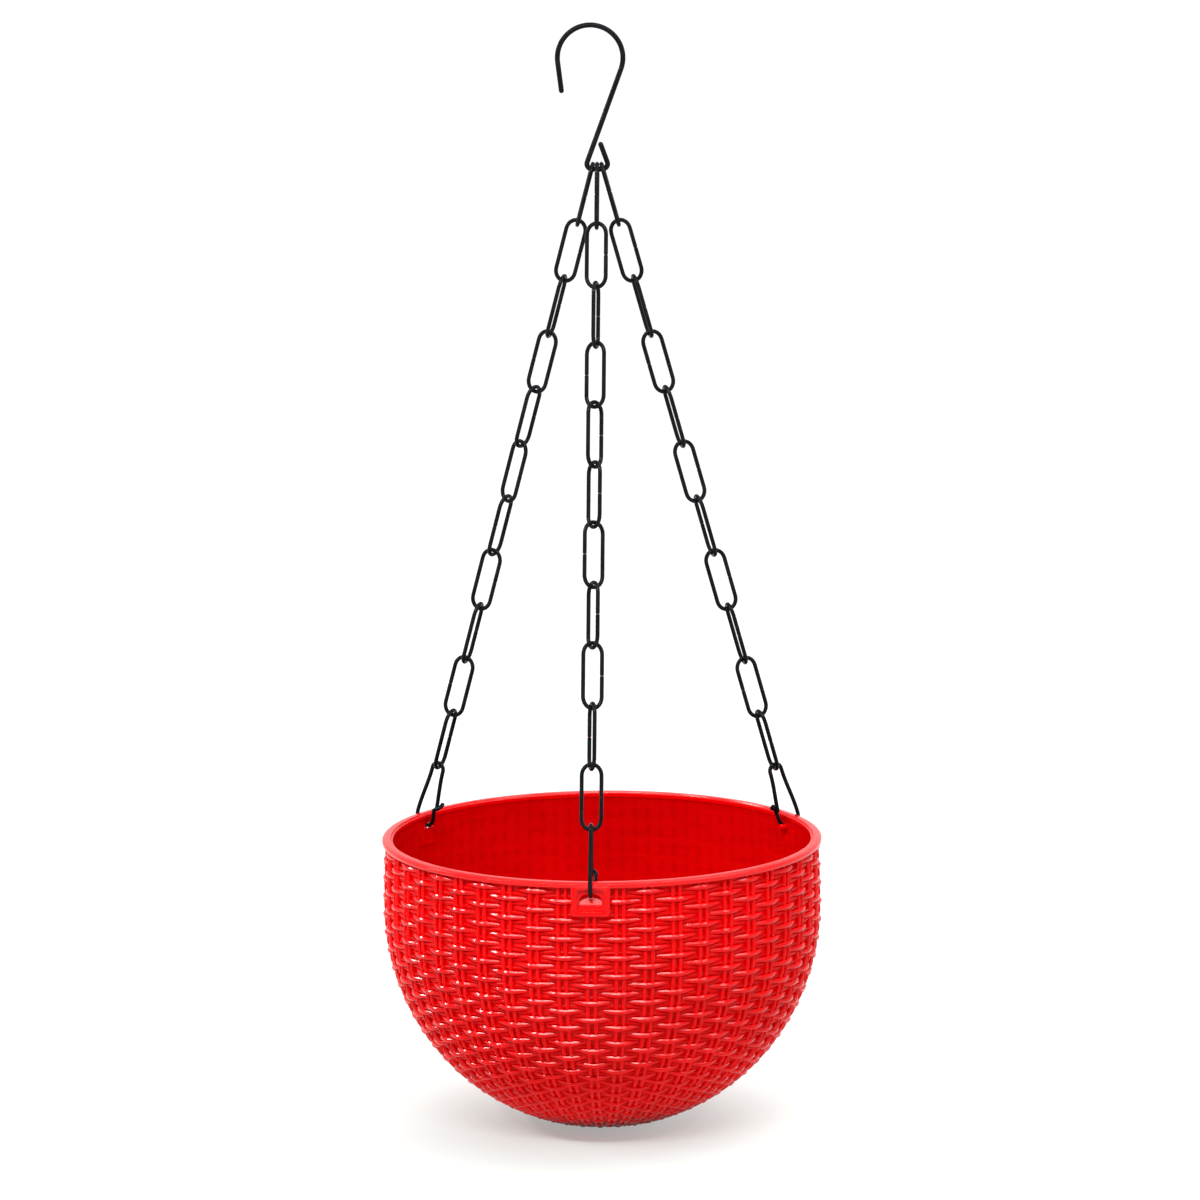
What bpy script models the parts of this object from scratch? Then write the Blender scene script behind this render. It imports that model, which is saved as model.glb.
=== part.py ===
# Hanging basket planter.
#
# A moulded plastic bowl hangs by three link chains from one bent wire hook. Each chain ends in a
# wire clip whose bend passes through a window in the bowl's wall, just under the rim.
#
# Frame: the origin is the inside of the hook's bend, where the planter hangs. +Z is up and -Y is
# the front. The basket, its chains and its clips swing together about the bar of the hook's eye.

import math

import bmesh
import bpy
from mathutils import Matrix, Vector

MM = 0.001

# Steel wire
HOOK_WIRE = 2.6 * MM
LINK_WIRE = 2.1 * MM
WIRE_GAP = 0.3 * MM
WIRE_RESOLUTION = 2

# Top hook
HOOK_BEND_RADIUS = 16.2 * MM
HOOK_BEND_OFFSET = 3.1 * MM
HOOK_TIP_LENGTH = 15.6 * MM
HOOK_DROP = 70.1 * MM
HOOK_TIP_ANGLE = math.radians(187)
HOOK_SHANK_ANGLE = math.radians(-20.3)
EYE_BAR_HALF = 6.3 * MM
EYE_CORNER_RADIUS = 2.65 * MM
EYE_LEG_LENGTH = 14.4 * MM
EYE_LEG_ANGLE = math.radians(20)
BEND_STEP = math.radians(13)

# Chain links
LINK_PITCH = 29.9 * MM
LINK_WIDTH = 11.8 * MM
LINK_END_LENGTH = 5.6 * MM
LINK_END_STEPS = 4
LINKS_PER_CHAIN = 11
TOP_LINK_SPACING = 2.45 * MM

# How far each link is turned about its chain, from the top link down, in degrees
FRONT_LINK_TURNS = (88, -14, 76, -29, 48, -55, 25, -62, 19, -75, 3)
LEFT_LINK_TURNS = (88, -10, 72, -28, 50, -48, 55, -25, 68, -22, 62)
RIGHT_LINK_TURNS = (-88, 10, -76, 14, -72, 18, -70, 15, -72, 20, -66)

# Wire clips
CLIP_NECK_RADIUS = 3.3 * MM
CLIP_LIP_CLEARANCE = 1.65 * MM
CLIP_SHIFT = 0.5 * MM
CLIP_BODY_LENGTH = 26.1 * MM
CLIP_LEG_END = 4.6 * MM
CLIP_HOOK_START = 4.2 * MM
CLIP_HOOK_RISE = 3.6 * MM
CLIP_HOOK_TURN = math.radians(125)
CLIP_LEG_STEPS = 6
CLIP_ARC_STEPS = 6
CLIP_HOOK_STEPS = 4

# Basket
RIM_RADIUS = 111.0 * MM
RIM_WIDTH = 5.4 * MM
RIM_HEIGHT = 3.0 * MM
RIM_STEP_WIDTH = 0.9 * MM
RIM_STEP_DROP = 0.9 * MM
RIM_ROUND = 0.7 * MM
RIM_EDGE = 0.2 * MM
BASKET_DEPTH = 144.5 * MM
BELLY_INSET = 1.4 * MM
SHOULDER_INSET = 1.0 * MM
BELLY_DEPTH = 36.0 * MM
WALL = 2.6 * MM
FLOOR = 3.0 * MM
FOOT_RADIUS = 24.0 * MM
FOOT_RING_WIDTH = 5.0 * MM
FOOT_RECESS = 1.0 * MM
BOWL_STEPS = 7
SHOULDER_STEPS = 1
RIM_ROUND_STEPS = 2
CURVE_STEPS = 60

# Woven relief moulded into the outside: each row passes over every second pair of stakes
STAKE_PAIRS = 48
WEAVE_ROW = 4.68 * MM
WEAVE_RELIEF = 1.8 * MM
WEAVE_SLOPE_SHARE = 0.5
WEAVE_MERGE_SHARE = 0.1
WEAVE_SHORT_SHARE = 2.0
WEAVE_END = 20.0 * MM
WEAVE_CLEARANCE = 1.0 * MM

# Clip windows in the basket's wall
WINDOW_AZIMUTH = math.radians(-3)
BOSS_WIDTH = 19.2 * MM
BOSS_BOTTOM = 16.9 * MM
BOSS_TOP = 1.6 * MM
BOSS_PROUD = 0.25 * MM
BOSS_BACK = 0.35 * MM
BOSS_CORNER = 1.6 * MM
RECESS_WIDTH = 13.2 * MM
RECESS_TOP = 3.7 * MM
RECESS_BOTTOM = 14.5 * MM
RECESS_DEPTH = 1.8 * MM
RECESS_CORNER = 1.8 * MM
WINDOW_WIDTH = 11.0 * MM
WINDOW_SILL_DROP = 3.5 * MM
SILL_SLOPE_DROP = 3.6 * MM
CLIP_CENTRE_DROP = 1.7 * MM
CUT_OVERRUN = 2.0 * MM
CORNER_STEPS = 3

SHARP_ANGLE = math.radians(35)
CHAIN_NAMES = ("front", "right", "left")
CHAIN_TURNS = (FRONT_LINK_TURNS, RIGHT_LINK_TURNS, LEFT_LINK_TURNS)
CHAIN_SIDES = (0, 1, -1)

# Values worked out from the sizes above
BAR_HEIGHT = -HOOK_DROP
SEAT_ABOVE_BAR = (HOOK_WIRE + LINK_WIRE) / 2 + WIRE_GAP
CONTACT = LINK_WIRE + WIRE_GAP
CHAIN_START = BAR_HEIGHT + SEAT_ABOVE_BAR - CONTACT / 2
LINK_HALF = (LINK_WIDTH - LINK_WIRE) / 2
CLIP_REACH = CLIP_NECK_RADIUS + CLIP_BODY_LENGTH - CONTACT / 2
CLIP_BELLY_RADIUS = RIM_WIDTH / 2 + LINK_WIRE / 2 + CLIP_LIP_CLEARANCE
CLIP_RADIUS = RIM_RADIUS - RIM_WIDTH / 2 - CLIP_SHIFT
RIM_INNER_RADIUS = RIM_RADIUS - RIM_WIDTH
BELLY_RADIUS = RIM_RADIUS - BELLY_INSET
CHAIN_LENGTH = LINKS_PER_CHAIN * LINK_PITCH + CLIP_REACH
CHAIN_DROP = math.sqrt(CHAIN_LENGTH**2 - CLIP_RADIUS**2)
RIM_TOP = CHAIN_START - CHAIN_DROP + CLIP_CENTRE_DROP
WINDOW_TOP = CLIP_CENTRE_DROP + CLIP_BELLY_RADIUS - LINK_WIRE / 2 - 2 * WIRE_GAP


def clear_scene():
    for obj in list(bpy.data.objects):
        bpy.data.objects.remove(obj)


def finish_material(name, colour, roughness, metallic):
    material = bpy.data.materials.new(name)
    material.use_nodes = True
    shader = material.node_tree.nodes["Principled BSDF"]
    shader.inputs["Base Color"].default_value = (*colour, 1.0)
    shader.inputs["Roughness"].default_value = roughness
    shader.inputs["Metallic"].default_value = metallic
    return material


def add_object(name, data, parent=None):
    obj = bpy.data.objects.new(name, data)
    bpy.context.scene.collection.objects.link(obj)
    obj.parent = parent
    return obj


def wire_curve(name, points, diameter, closed, material):
    curve = bpy.data.curves.new(name, "CURVE")
    curve.dimensions = "3D"
    spline = curve.splines.new("POLY")
    spline.points.add(len(points) - 1)
    for place, point in zip(spline.points, points):
        place.co = (*point, 1.0)
    spline.use_cyclic_u = closed
    spline.use_smooth = True
    curve.bevel_depth = diameter / 2
    curve.bevel_resolution = WIRE_RESOLUTION
    curve.use_fill_caps = not closed
    curve.materials.append(material)
    return curve


# Top hook


def arc_points(centre, radius, start, end, step):
    count = max(1, round(abs(end - start) / step))
    points = []
    for i in range(count + 1):
        angle = start + (end - start) * i / count
        points.append(centre + Vector((math.cos(angle), math.sin(angle))) * radius)
    return points


def rounded_corner(before, corner, after, radius, step):
    back = (before - corner).normalized()
    ahead = (after - corner).normalized()
    half = back.angle(ahead) / 2
    centre = corner + (back + ahead).normalized() * (radius / math.sin(half))
    start = corner + back * (radius / math.tan(half)) - centre
    turn = start.angle_signed(corner + ahead * (radius / math.tan(half)) - centre)
    first = math.atan2(start.y, start.x)
    return arc_points(centre, radius, first, first - turn, step)


def hook_points():
    # Drawn in the XZ plane, from the tip over the bend and down the shank to the eye
    centre = Vector((-HOOK_BEND_OFFSET, HOOK_WIRE / 2 - HOOK_BEND_RADIUS))
    bend = arc_points(centre, HOOK_BEND_RADIUS, HOOK_TIP_ANGLE, HOOK_SHANK_ANGLE, BEND_STEP)
    up_the_tip = Vector((math.sin(HOOK_TIP_ANGLE), -math.cos(HOOK_TIP_ANGLE)))
    tip = bend[0] - up_the_tip * HOOK_TIP_LENGTH
    down_the_shank = Vector((math.sin(HOOK_SHANK_ANGLE), -math.cos(HOOK_SHANK_ANGLE)))
    run = (BAR_HEIGHT - bend[-1].y) / down_the_shank.y
    left_corner = bend[-1] + down_the_shank * run
    right_corner = Vector((EYE_BAR_HALF, BAR_HEIGHT))
    leg = Vector((-math.sin(EYE_LEG_ANGLE), math.cos(EYE_LEG_ANGLE)))
    leg_end = right_corner + leg * EYE_LEG_LENGTH
    left = rounded_corner(bend[-1], left_corner, right_corner, EYE_CORNER_RADIUS, 2 * BEND_STEP)
    right = rounded_corner(left_corner, right_corner, leg_end, EYE_CORNER_RADIUS, 2 * BEND_STEP)
    # The free end butts beside the shank
    flat = [tip, *bend, *left, *right, leg_end]
    return [Vector((p.x, 0, p.y)) for p in flat]


def make_hook(steel):
    curve = wire_curve("top_hook", hook_points(), HOOK_WIRE, False, steel)
    return add_object("top_hook", curve)


# Chains


def smooth_step(share):
    return share * share * (3 - 2 * share)


def link_points():
    # A long loop: two straight legs joined by elliptical ends, with the chain's line along Z
    half_length = (LINK_PITCH + CONTACT) / 2
    leg_end = half_length - LINK_END_LENGTH
    points = []
    for side in (1, -1):
        for i in range(LINK_END_STEPS + 1):
            angle = math.pi * i / LINK_END_STEPS
            x = side * LINK_HALF * math.cos(angle)
            z = side * (leg_end + LINK_END_LENGTH * math.sin(angle))
            points.append(Vector((x, 0, z)))
    return points


def clip_half_width(height):
    share = smooth_step(1 - height / CLIP_BODY_LENGTH)
    return CLIP_NECK_RADIUS + (CLIP_BELLY_RADIUS - CLIP_NECK_RADIUS) * share


def clip_points():
    # Local X points out of the basket, Z up the chain, and the origin is the belly's centre.
    # The wire runs up the inner leg, over the neck, down the outer leg and round the belly.
    points = []
    for i in range(CLIP_LEG_STEPS):
        height = CLIP_LEG_END + (CLIP_BODY_LENGTH - CLIP_LEG_END) * i / CLIP_LEG_STEPS
        points.append(Vector((-clip_half_width(height), 0, height)))
    for i in range(CLIP_ARC_STEPS + 1):
        angle = math.pi * (1 - i / CLIP_ARC_STEPS)
        x = CLIP_NECK_RADIUS * math.cos(angle)
        z = CLIP_BODY_LENGTH + CLIP_NECK_RADIUS * math.sin(angle)
        points.append(Vector((x, 0, z)))
    for i in range(1, CLIP_LEG_STEPS):
        height = CLIP_BODY_LENGTH * (1 - i / CLIP_LEG_STEPS)
        points.append(Vector((clip_half_width(height), 0, height)))
    lap = LINK_WIRE + WIRE_GAP
    inner_start = CLIP_ARC_STEPS / 2
    for i in range(CLIP_ARC_STEPS + 1):
        angle = -math.pi * i / CLIP_ARC_STEPS
        x = CLIP_BELLY_RADIUS * math.cos(angle)
        z = CLIP_BELLY_RADIUS * math.sin(angle)
        share = max(0, i - inner_start) / (2 * inner_start)
        points.append(Vector((x, lap * smooth_step(share), z)))
    # The free end rises beside the inner leg and hooks round it
    centre = Vector((-clip_half_width(CLIP_LEG_END), 0, 0))
    for i in range(CLIP_HOOK_STEPS + 1):
        share = i / CLIP_HOOK_STEPS
        angle = math.pi / 2 + CLIP_HOOK_TURN * share
        height = CLIP_HOOK_START + CLIP_HOOK_RISE * (0.4 + share)
        around = Vector((math.cos(angle), math.sin(angle), 0)) * lap
        points.append(centre + around + Vector((0, 0, height)))
    return points


def foot_point(azimuth):
    return Vector(
        (
            CLIP_RADIUS * math.sin(azimuth),
            -CLIP_RADIUS * math.cos(azimuth),
            RIM_TOP - CLIP_CENTRE_DROP,
        )
    )


def line_frame(up, across):
    # A turn whose Z is the line and whose X is the direction nearest to across
    z = up.normalized()
    x = (across - z * across.dot(z)).normalized()
    y = z.cross(x)
    return Matrix((x, y, z)).transposed()


def make_chain(name, azimuth, side, turns, link_curve, clip_curve, axis):
    start = Vector((side * TOP_LINK_SPACING, 0, CHAIN_START))
    foot = foot_point(azimuth)
    line = foot - start
    pitch = (line.length - CLIP_REACH) / LINKS_PER_CHAIN
    down = line.normalized()
    frame = line_frame(-down, Vector((1, 0, 0)))
    for number in range(LINKS_PER_CHAIN):
        link = add_object(f"{name}_link_{number + 1:02d}", link_curve, axis)
        centre = start + down * (pitch * (number + 0.5))
        link.location = centre - axis.location
        link.rotation_mode = "QUATERNION"
        spin = Matrix.Rotation(math.radians(turns[number % len(turns)]), 3, "Z")
        link.rotation_quaternion = (frame @ spin).to_quaternion()
    clip = add_object(f"{name}_clip", clip_curve, axis)
    outward = Vector((math.sin(azimuth), -math.cos(azimuth), 0))
    clip.location = foot - axis.location
    clip.rotation_mode = "QUATERNION"
    clip.rotation_quaternion = line_frame(-down, outward).to_quaternion()


# Basket


def bowl_curve(radius, depth, flat_radius, steps):
    # A quarter ellipse from the belly down to the flat foot, as radius and height pairs
    last = math.acos(flat_radius / radius)
    drop = (depth - BELLY_DEPTH) / math.sin(last)
    points = []
    for i in range(steps + 1):
        angle = last * i / steps
        points.append((radius * math.cos(angle), -BELLY_DEPTH - drop * math.sin(angle)))
    return points


def shoulder_curve(radius, top, steps):
    # The wall swells from just under the rim out to the belly
    points = []
    for i in range(steps):
        share = i / steps
        swell = math.sin(math.pi / 2 * share)
        r = radius - SHOULDER_INSET * (1 - swell)
        points.append((r, -top - (BELLY_DEPTH - top) * share))
    return points


def even_points(curve, spacing):
    # Points at equal spacing along a curve, its two ends included
    lengths = [math.dist(a, b) for a, b in zip(curve, curve[1:])]
    count = max(2, round(sum(lengths) / spacing))
    step = sum(lengths) / count
    points = [curve[0]]
    travelled = 0
    for (a, b), length in zip(zip(curve, curve[1:]), lengths):
        while len(points) < count and len(points) * step <= travelled + length:
            share = (len(points) * step - travelled) / length
            points.append((a[0] + (b[0] - a[0]) * share, a[1] + (b[1] - a[1]) * share))
        travelled += length
    return points + [curve[-1]]


def rim_curve():
    # From the wall's inner face up over the lip and down to the wall's outer face
    step_radius = RIM_INNER_RADIUS + RIM_STEP_WIDTH
    points = [
        (RIM_INNER_RADIUS, -RIM_HEIGHT + RIM_ROUND),
        (RIM_INNER_RADIUS, -RIM_STEP_DROP),
        (step_radius, -RIM_STEP_DROP),
        (step_radius + RIM_EDGE, 0),
    ]
    for i in range(RIM_ROUND_STEPS + 1):
        angle = math.pi / 2 * (1 - i / RIM_ROUND_STEPS)
        r = RIM_RADIUS - RIM_ROUND + RIM_ROUND * math.cos(angle)
        points.append((r, -RIM_ROUND + RIM_ROUND * math.sin(angle)))
    points.append((RIM_RADIUS - RIM_EDGE, -RIM_HEIGHT))
    return points


def weave_rows():
    # Radius and height of each row of the weave, from under the rim to the foot. The plain wall
    # round the foot has every second row only.
    shoulder = shoulder_curve(BELLY_RADIUS, RIM_HEIGHT, CURVE_STEPS)
    bowl = bowl_curve(BELLY_RADIUS, BASKET_DEPTH, FOOT_RADIUS, CURVE_STEPS)
    rows = even_points(shoulder + bowl, WEAVE_ROW)
    plain = [row for row in rows if row[0] < FOOT_RADIUS + WEAVE_END]
    return rows[: len(rows) - len(plain)] + plain[::-2][::-1]


def basket_profile():
    inner_radius = BELLY_RADIUS - WALL
    inner = bowl_curve(inner_radius, BASKET_DEPTH - FLOOR, FOOT_RADIUS - WALL, BOWL_STEPS)
    inner_top = shoulder_curve(inner_radius, RIM_HEIGHT + RIM_ROUND, SHOULDER_STEPS)
    ring_inner = FOOT_RADIUS - FOOT_RING_WIDTH
    foot = [
        (ring_inner, -BASKET_DEPTH),
        (ring_inner - FOOT_RECESS, -BASKET_DEPTH + FOOT_RECESS),
        (0, -BASKET_DEPTH + FOOT_RECESS),
    ]
    floor = [(0, -BASKET_DEPTH + FLOOR)]
    up_inside = list(reversed(inner_top + inner))
    return floor + up_inside + rim_curve() + weave_rows() + foot


def turned_solid(profile, sides, start):
    bm = bmesh.new()
    verts = [bm.verts.new((r * math.cos(start), r * math.sin(start), z)) for r, z in profile]
    for a, b in zip(verts, verts[1:]):
        bm.edges.new((a, b))
    bmesh.ops.spin(
        bm,
        geom=bm.verts[:] + bm.edges[:],
        cent=(0, 0, 0),
        axis=(0, 0, 1),
        angle=2 * math.pi,
        steps=sides,
        use_merge=True,
    )
    bmesh.ops.remove_doubles(bm, verts=bm.verts[:], dist=RIM_EDGE / 100)
    bmesh.ops.recalc_face_normals(bm, faces=bm.faces[:])
    return bm


def near_boss(centre):
    # Whether a part of the wall this wide lies on or beside one of the window bosses
    reach = (BOSS_WIDTH / 2 + WEAVE_CLEARANCE) / RIM_RADIUS + math.pi / STAKE_PAIRS
    low = -BOSS_BOTTOM - WEAVE_CLEARANCE - WEAVE_ROW / 2
    for number in range(len(CHAIN_NAMES)):
        away = math.atan2(centre.y, centre.x) - (chain_azimuth(number) - math.pi / 2)
        if abs(math.remainder(away, 2 * math.pi)) < reach:
            return centre.z > low
    return False


def row_of(vert, rows):
    # The weave row that a point of the wall lies on, or None inside the basket
    place = (math.hypot(vert.co.x, vert.co.y), vert.co.z)
    row = min(range(len(rows)), key=lambda i: math.dist(rows[i], place))
    return row if math.dist(rows[row], place) < RIM_EDGE / 2 else None


def raise_weave(bm, start):
    # Every second face of the wall, row by row, rises to a ridge where a row passes over a pair
    rows = weave_rows()
    pitch = 2 * math.pi / STAKE_PAIRS
    shown = [[] for _ in rows]
    for face in bm.faces:
        lines = [row_of(vert, rows) for vert in face.verts]
        centre = face.calc_center_median()
        if None in lines or min(lines) == max(lines) or near_boss(centre):
            continue
        row = min(lines)
        column = math.floor((math.atan2(centre.y, centre.x) - start) / pitch)
        if (row + column) % 2 == 0 and rows[row + 1][0] > FOOT_RADIUS + WEAVE_END:
            shown[row].append(face)
    ridges = []
    for row, faces in enumerate(shown):
        width = pitch * rows[min(row + 1, len(rows) - 1)][0]
        if faces and width < WEAVE_SHORT_SHARE * WEAVE_ROW:
            # Low down, where the pairs close up, one point stands for the short ridge
            bmesh.ops.poke(bm, faces=faces, offset=WEAVE_RELIEF)
        elif faces:
            bmesh.ops.inset_individual(
                bm,
                faces=faces,
                thickness=WEAVE_SLOPE_SHARE * min(width, WEAVE_ROW),
                depth=WEAVE_RELIEF,
                use_even_offset=True,
            )
            ridges += [vert for face in faces for vert in face.verts]
    bmesh.ops.remove_doubles(bm, verts=ridges, dist=WEAVE_MERGE_SHARE * WEAVE_ROW)


def rounded_plate(bm, width, low, high, near, far, corner):
    # A plate with rounded corners that faces along X, between two heights and two depths
    made = bmesh.ops.create_cube(bm, size=1)
    place = Matrix.Translation(((near + far) / 2, 0, (low + high) / 2))
    size = Matrix.Diagonal((far - near, width, high - low, 1))
    bmesh.ops.transform(bm, matrix=place @ size, verts=made["verts"])
    along = [e for v in made["verts"] for e in v.link_edges if is_along_x(e)]
    bmesh.ops.bevel(
        bm,
        geom=list(set(along)),
        offset=corner,
        affect="EDGES",
        segments=CORNER_STEPS,
        profile=0.5,
        material=-1,
    )


def is_along_x(edge):
    a, b = (v.co for v in edge.verts)
    return abs(a.x - b.x) > abs(a.y - b.y) + abs(a.z - b.z)


def window_prism(bm):
    # The wall's opening: a level top, and a sill that falls away from a ridge on both sides
    ridge = (RIM_RADIUS + RIM_INNER_RADIUS) / 2 - BOSS_BACK
    back = RIM_INNER_RADIUS - CUT_OVERRUN
    front = RIM_RADIUS + CUT_OVERRUN
    sill = WINDOW_TOP + WINDOW_SILL_DROP
    outline = (
        (back, -WINDOW_TOP),
        (front, -WINDOW_TOP),
        (front, -sill - SILL_SLOPE_DROP * (front - ridge) / (ridge - RIM_INNER_RADIUS)),
        (ridge, -sill),
        (back, -sill - SILL_SLOPE_DROP * (ridge - back) / (ridge - RIM_INNER_RADIUS)),
    )
    near = [bm.verts.new((x, -WINDOW_WIDTH / 2, z)) for x, z in outline]
    face = bm.faces.new(near)
    grown = bmesh.ops.extrude_face_region(bm, geom=[face])
    moved = [g for g in grown["geom"] if isinstance(g, bmesh.types.BMVert)]
    bmesh.ops.translate(bm, vec=(0, WINDOW_WIDTH, 0), verts=moved)


def three_round(name, build, parent):
    # The same solid at each chain's foot, as one mesh that a Boolean uses
    bm = bmesh.new()
    for number in range(len(CHAIN_NAMES)):
        one = bmesh.new()
        build(one)
        bmesh.ops.recalc_face_normals(one, faces=one.faces[:])
        angle = chain_azimuth(number) - math.pi / 2
        bmesh.ops.rotate(
            one, cent=(0, 0, 0), matrix=Matrix.Rotation(angle, 3, "Z"), verts=one.verts[:]
        )
        part = bpy.data.meshes.new(name)
        one.to_mesh(part)
        one.free()
        bm.from_mesh(part)
        bpy.data.meshes.remove(part)
    mesh = bpy.data.meshes.new(name)
    bm.to_mesh(mesh)
    bm.free()
    obj = add_object(name, mesh, parent)
    obj.hide_render = True
    obj.display_type = "WIRE"
    return obj


def boss_block(bm):
    rounded_plate(
        bm,
        BOSS_WIDTH,
        -BOSS_BOTTOM,
        -BOSS_TOP,
        RIM_INNER_RADIUS + BOSS_BACK,
        RIM_RADIUS + BOSS_PROUD,
        BOSS_CORNER,
    )


def boss_recess(bm):
    face = RIM_RADIUS + BOSS_PROUD
    rounded_plate(
        bm,
        RECESS_WIDTH,
        -RECESS_BOTTOM,
        -RECESS_TOP,
        face - RECESS_DEPTH,
        face + CUT_OVERRUN,
        RECESS_CORNER,
    )


def combine(target, tool, operation):
    modifier = target.modifiers.new(tool.name, "BOOLEAN")
    modifier.operation = operation
    modifier.object = tool
    modifier.solver = "EXACT"


def chain_azimuth(number):
    return WINDOW_AZIMUTH + 2 * math.pi * number / len(CHAIN_NAMES)


def make_basket(red, axis):
    start = WINDOW_AZIMUTH - math.pi / 2 - math.pi / STAKE_PAIRS
    bm = turned_solid(basket_profile(), STAKE_PAIRS, start)
    raise_weave(bm, start)
    mesh = bpy.data.meshes.new("basket")
    bm.to_mesh(mesh)
    bm.free()
    mesh.shade_smooth()
    mesh.set_sharp_from_angle(angle=SHARP_ANGLE)
    mesh.materials.append(red)
    basket = add_object("basket", mesh, axis)
    place = Vector((0, 0, RIM_TOP)) - axis.location
    basket.location = place
    steps = (
        ("boss_blocks", boss_block, "UNION"),
        ("boss_recesses", boss_recess, "DIFFERENCE"),
        ("clip_windows", window_prism, "DIFFERENCE"),
    )
    for name, build, operation in steps:
        tool = three_round(name, build, axis)
        tool.location = place
        combine(basket, tool, operation)
    return basket


def main():
    clear_scene()
    steel = finish_material("black_wire", (0.012, 0.012, 0.014), 0.32, 0.0)
    red = finish_material("red_plastic", (0.78, 0.005, 0.012), 0.28, 0.0)
    make_hook(steel)
    axis = add_object("swing_axis", None)
    axis.location = (0, 0, BAR_HEIGHT)
    make_basket(red, axis)
    link_curve = wire_curve("chain_link", link_points(), LINK_WIRE, True, steel)
    clip_curve = wire_curve("wire_clip", clip_points(), LINK_WIRE, False, steel)
    for number, name in enumerate(CHAIN_NAMES):
        make_chain(
            name,
            chain_azimuth(number),
            CHAIN_SIDES[number],
            CHAIN_TURNS[number],
            link_curve,
            clip_curve,
            axis,
        )


main()
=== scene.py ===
# Hanging basket planter, dressed for its picture.
#
# The moulded bowl is a turned shell with three window bosses, and its woven relief is made as the
# ribs of the stakes and the rods of the weavers that cross them. The hook, the links and the clips
# are round wire bent along the same lines as the solids. Lengths are in metres, and the frame is
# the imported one: the origin is the inside of the hook's bend, +Z up and -Y the front.

import math

import bmesh
import bpy
from mathutils import Matrix, Vector


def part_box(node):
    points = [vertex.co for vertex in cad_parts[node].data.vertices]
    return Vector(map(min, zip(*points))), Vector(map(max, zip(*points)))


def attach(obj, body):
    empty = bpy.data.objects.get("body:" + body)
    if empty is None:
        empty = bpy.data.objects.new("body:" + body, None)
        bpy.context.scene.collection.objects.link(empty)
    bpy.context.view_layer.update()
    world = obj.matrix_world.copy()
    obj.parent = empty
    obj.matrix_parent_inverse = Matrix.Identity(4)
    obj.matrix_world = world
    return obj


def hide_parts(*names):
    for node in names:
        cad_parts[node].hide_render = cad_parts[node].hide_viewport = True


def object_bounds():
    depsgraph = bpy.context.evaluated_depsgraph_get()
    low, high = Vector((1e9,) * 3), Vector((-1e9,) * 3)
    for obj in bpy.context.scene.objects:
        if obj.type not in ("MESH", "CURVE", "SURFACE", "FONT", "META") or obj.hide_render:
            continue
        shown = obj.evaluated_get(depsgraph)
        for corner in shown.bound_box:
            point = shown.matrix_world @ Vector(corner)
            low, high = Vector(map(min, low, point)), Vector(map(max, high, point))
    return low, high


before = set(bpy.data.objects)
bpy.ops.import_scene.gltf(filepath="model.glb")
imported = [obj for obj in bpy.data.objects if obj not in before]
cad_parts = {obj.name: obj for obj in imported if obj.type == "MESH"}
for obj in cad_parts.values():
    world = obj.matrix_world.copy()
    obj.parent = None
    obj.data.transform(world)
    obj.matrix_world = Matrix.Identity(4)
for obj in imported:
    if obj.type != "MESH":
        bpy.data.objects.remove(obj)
cad_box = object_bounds()

MM = 0.001

# Wire
HOOK_WIRE = 2.6 * MM
LINK_WIRE = 2.1 * MM
WIRE_GAP = 0.3 * MM
CONTACT = LINK_WIRE + WIRE_GAP
BUTT_GAP = 0.16 * MM
END_CHAMFER = 0.25 * MM
END_FACE_SHARE = 0.78
DOME_ANGLES = tuple(math.radians(a) for a in (0, 22, 44, 64, 80))

# Top hook
HOOK_BEND_RADIUS = 16.2 * MM
HOOK_BEND_OFFSET = 3.1 * MM
HOOK_TIP_LENGTH = 15.6 * MM
HOOK_TIP_ANGLE = math.radians(187)
HOOK_SHANK_ANGLE = math.radians(-20.3)
BAR_HEIGHT = -70.1 * MM
EYE_BAR_HALF = 6.3 * MM
EYE_CORNER_RADIUS = 2.65 * MM
EYE_LEG_LENGTH = 14.4 * MM
EYE_LEG_ANGLE = math.radians(20)

# Chains
LINK_PITCH = 29.9 * MM
LINK_WIDTH = 11.8 * MM
LINK_HALF = (LINK_WIDTH - LINK_WIRE) / 2
LINK_END_LENGTH = 5.6 * MM
LINKS_PER_CHAIN = 11
TOP_LINK_SPACING = 2.45 * MM
CHAIN_START = BAR_HEIGHT + (HOOK_WIRE + LINK_WIRE) / 2 + WIRE_GAP - CONTACT / 2
CHAINS = {
    "front": (0, (88, -14, 76, -29, 48, -55, 25, -62, 19, -75, 3)),
    "right": (1, (-88, 10, -76, 14, -72, 18, -70, 15, -72, 20, -66)),
    "left": (-1, (88, -10, 72, -28, 50, -48, 55, -25, 68, -22, 62)),
}

# Clips
CLIP_NECK_RADIUS = 3.3 * MM
CLIP_BELLY_RADIUS = 5.4 * MM
CLIP_BODY_LENGTH = 26.1 * MM
CLIP_LEG_END = 4.6 * MM
CLIP_HOOK_START = 4.2 * MM
CLIP_HOOK_RISE = 3.6 * MM
CLIP_HOOK_LEAD_SHARE = 0.4
CLIP_HOOK_TURN = math.radians(125)
CLIP_REACH = CLIP_NECK_RADIUS + CLIP_BODY_LENGTH - CONTACT / 2
CLIP_RADIUS = 107.8 * MM
CLIP_DROP = 1.7 * MM

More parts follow.
